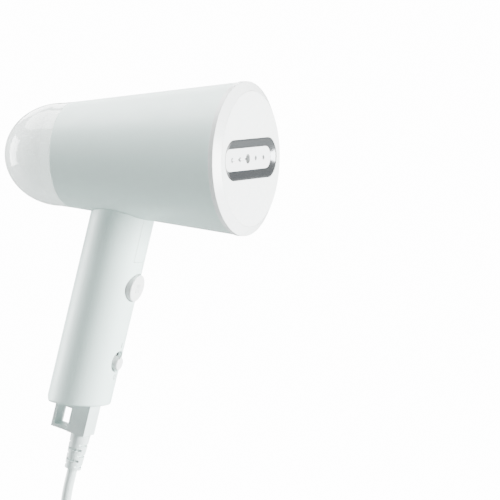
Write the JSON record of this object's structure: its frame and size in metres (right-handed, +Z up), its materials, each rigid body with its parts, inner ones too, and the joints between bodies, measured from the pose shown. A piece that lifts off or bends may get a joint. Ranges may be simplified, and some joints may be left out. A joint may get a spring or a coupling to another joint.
{
  "type": "handheld garment steamer",
  "caption": "Handheld garment steamer: conical barrel with an obround steam outlet, removable translucent rear tank, leaning grip with push button and slide switch, and mains cord.",
  "frame": {"origin": "on the grip's own axis, at the middle of the hand grip", "axes": "+X the way the steam leaves, +Y to the left of a user who looks along +X, +Z up; the grip leans 15 degrees, its bottom towards -X"},
  "size_m": [0.1703, 0.096, 0.527],
  "materials": {
    "casing": "fine satin, pale grey-green",
    "front": "smooth satin, off-white",
    "trim": "smooth dark grey",
    "steam_plate": "smooth light grey",
    "tank_clear": "frosted translucent",
    "button": "satin light grey",
    "cord_plastic": "matt soft PVC, light grey",
    "tie": "matt dark strap",
    "pins": "nickel-plated, smooth",
    "seal": "red silicone",
    "pads": "black rubber",
    "hose": "translucent silicone",
    "cast": "as cast",
    "steel": "zinc plated",
    "spring": "spring wire",
    "inner_plastic": "natural nylon",
    "black_plastic": "black",
    "board": "green solder mask",
    "copper": "wound enamelled wire under tape",
    "lead_wire": "silicone insulation"
  },
  "bodies": {
    "housing": {"barrel_housing": "casing", "board_components": "black_plastic", "boiler_base": "cast", "boiler_bracket": "steel", "boiler_cover": "cast", "boiler_gasket": "seal", "boiler_inlet_hose": "hose", "boiler_screws": "steel", "bracket_screws": "steel", "button_spring": "spring", "chassis_screws": "steel", "clamp_screws": "steel", "control_board": "board", "cord_anchor": "cord_plastic", "cord_clamp": "inner_plastic", "cord_hank": "cord_plastic", "cord_tie": "tie", "front_panel": "front", "front_ring": "front", "grip_screw": "steel", "grip_shell": "casing", "handle_chassis": "inner_plastic", "heater_leads": "lead_wire", "heating_element": "steel", "mains_leads": "lead_wire", "manifold_gasket": "seal", "manifold_screws": "steel", "nozzle_plate": "steam_plate", "nozzle_trim": "trim", "plug_body": "cord_plastic", "plug_pins": "pins", "power_cord": "cord_plastic", "power_switch_body": "black_plastic", "pump_body": "inner_plastic", "pump_coil": "copper", "pump_pads": "pads", "pump_spring": "spring", "pump_yoke": "steel", "steam_duct": "seal", "steam_manifold": "inner_plastic", "strain_relief": "cord_plastic", "tank_dock": "inner_plastic", "tank_inlet_hose": "hose", "terminal_block": "inner_plastic", "thermal_fuse": "steel", "thermostat": "steel", "trigger_switch": "black_plastic"},
    "button": {"steam_button": "button"},
    "lever": {"trigger_lever": "inner_plastic"},
    "knob": {"power_switch_knob": "button"},
    "tank": {"tank_shell": "tank_clear", "tank_front_wall": "tank_clear", "filler_stopper": "seal", "neck_seal": "seal", "tank_valve_spring": "spring"},
    "valve": {"tank_valve_stem": "inner_plastic", "tank_valve_seal": "seal"},
    "plunger": {"pump_plunger": "steel"}
  },
  "joints": [
    {"name": "steam_button_press", "type": "slide", "parent": "housing", "child": "button", "axis": [-0.9659, 0, 0.2588], "range_m": [0, 0.0022], "stiffness_N_per_m": 400, "springref_m": -0.004, "deforming": ["button_spring"]},
    {"name": "trigger_lever_tilt", "type": "hinge", "parent": "housing", "child": "lever", "pos_m": [0.00697, 0, 0.00072], "axis": [0, -1, 0], "range_deg": [0, 12.7]},
    {"name": "power_switch_slide", "type": "slide", "parent": "housing", "child": "knob", "axis": [0.2588, 0, 0.9659], "range_m": [0, 0.0032]},
    {"name": "water_tank_pull", "type": "slide", "parent": "housing", "child": "tank", "axis": [-1, 0, 0], "range_m": [0, 0.06]},
    {"name": "tank_valve_close", "type": "slide", "parent": "tank", "child": "valve", "axis": [1, 0, 0], "range_m": [0, 0.002], "deforming": ["tank_valve_spring"]},
    {"name": "pump_plunger_stroke", "type": "slide", "parent": "housing", "child": "plunger", "axis": [1, 0, 0], "range_m": [0, 0.0025], "stiffness_N_per_m": 200, "springref_m": -0.002, "deforming": ["pump_spring"]}
  ],
  "couplings": [
    {"joint": "trigger_lever_tilt", "follows": "steam_button_press", "rad_per_m": 100},
    {"joint": "tank_valve_close", "follows": "water_tank_pull", "ratio": 0.0333}
  ]
}
